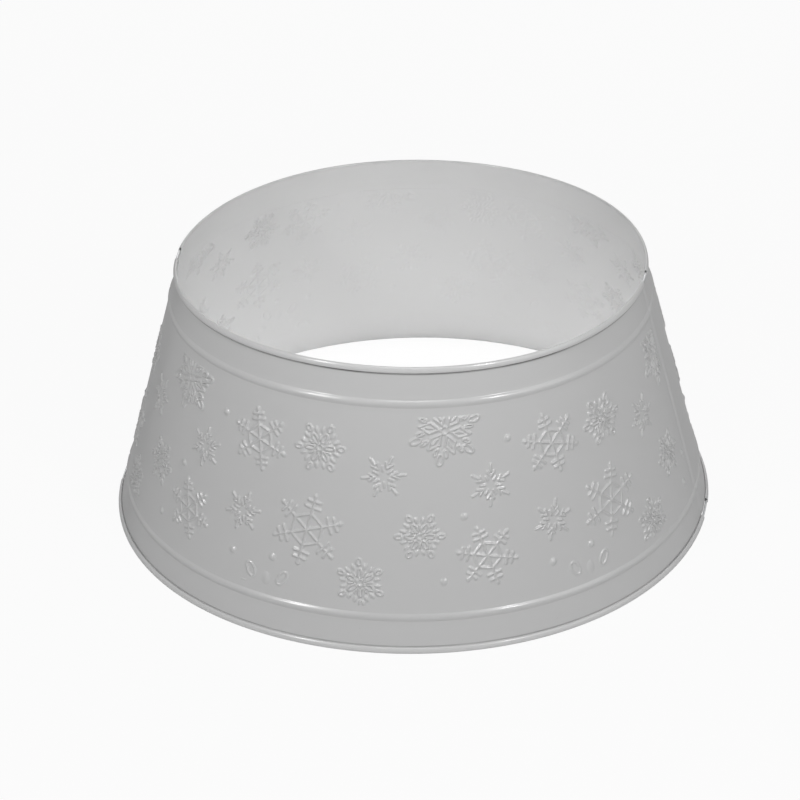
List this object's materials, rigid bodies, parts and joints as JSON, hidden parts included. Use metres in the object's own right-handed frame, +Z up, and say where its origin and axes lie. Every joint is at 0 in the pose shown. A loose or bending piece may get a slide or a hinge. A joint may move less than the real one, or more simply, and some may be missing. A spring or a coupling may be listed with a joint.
{
  "type": "tree collar",
  "caption": "Flared round collar of white painted sheet steel that stands round a tree stand, in two halves that push together.",
  "frame": {"origin": "on the collar's axis at floor level, where the bottom roll rests", "axes": "+Z up along the collar's axis; +Y towards the middle of the back half, so the two seams lie a little forward of the X axis and the front half pulls off along -Y"},
  "size_m": [0.5598, 0.5598, 0.2349],
  "materials": {
    "back_sheet": "satin white paint on embossed sheet steel",
    "front_sheet": "satin white paint on embossed sheet steel",
    "rim_wire": "drawn mild steel wire, dull"
  },
  "bodies": {
    "back_half": {"back_panel": "back_sheet", "back_top_wire": "rim_wire", "back_bottom_wire": "rim_wire"},
    "front_half": {"front_panel": "front_sheet", "front_top_wire": "rim_wire", "front_bottom_wire": "rim_wire"}
  },
  "joints": [
    {"name": "halves_part", "type": "slide", "parent": "back_half", "child": "front_half", "axis": [0, -1, 0], "range_m": [0, 0.3]}
  ]
}
